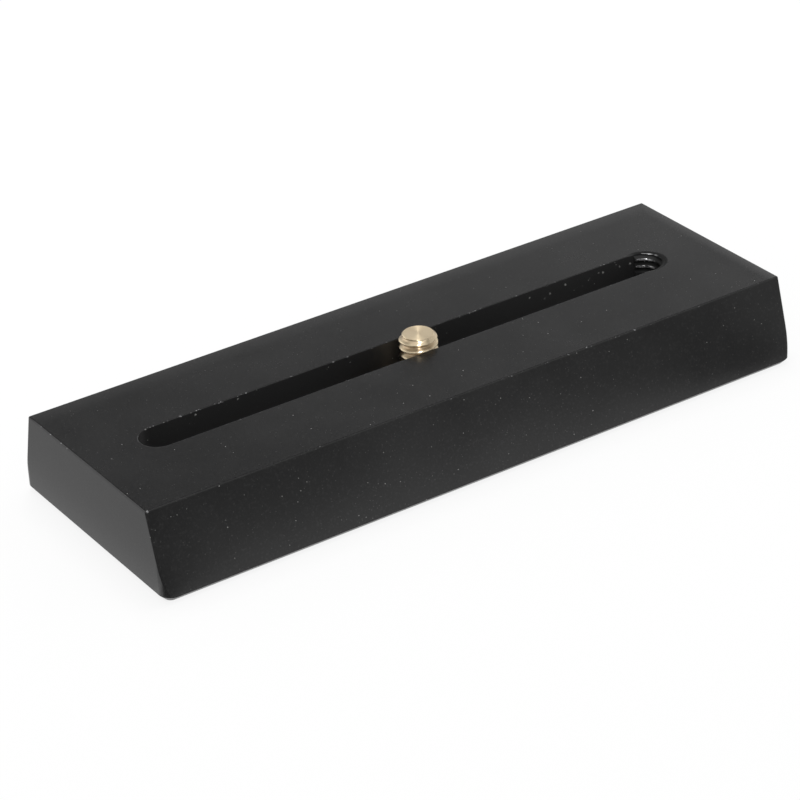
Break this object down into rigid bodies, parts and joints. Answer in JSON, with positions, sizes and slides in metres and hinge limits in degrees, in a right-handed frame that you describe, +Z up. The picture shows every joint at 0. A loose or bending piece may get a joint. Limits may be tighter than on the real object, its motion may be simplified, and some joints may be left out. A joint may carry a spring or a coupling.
{
  "type": "dovetail bar",
  "caption": "Black anodised bar with sloped flanks for a saddle clamp, a long slot along its middle and a brass camera screw that slides in the slot.",
  "frame": {"origin": "middle of the wide face that the bar lies on", "axes": "+X along the bar towards the tapped slot end, +Z up from the wide face to the narrow face"},
  "size_m": [0.12, 0.0436, 0.0163],
  "materials": {
    "black_anodised": "matte black anodised",
    "turned_brass": "turned, bright"
  },
  "bodies": {
    "bar": {"dovetail_bar": "black_anodised"},
    "screw": {"camera_screw": "turned_brass"}
  },
  "joints": [
    {"name": "screw_slide", "type": "slide", "parent": "bar", "child": "screw", "axis": [1, 0, 0], "range_m": [-0.0475, 0.0435]}
  ]
}
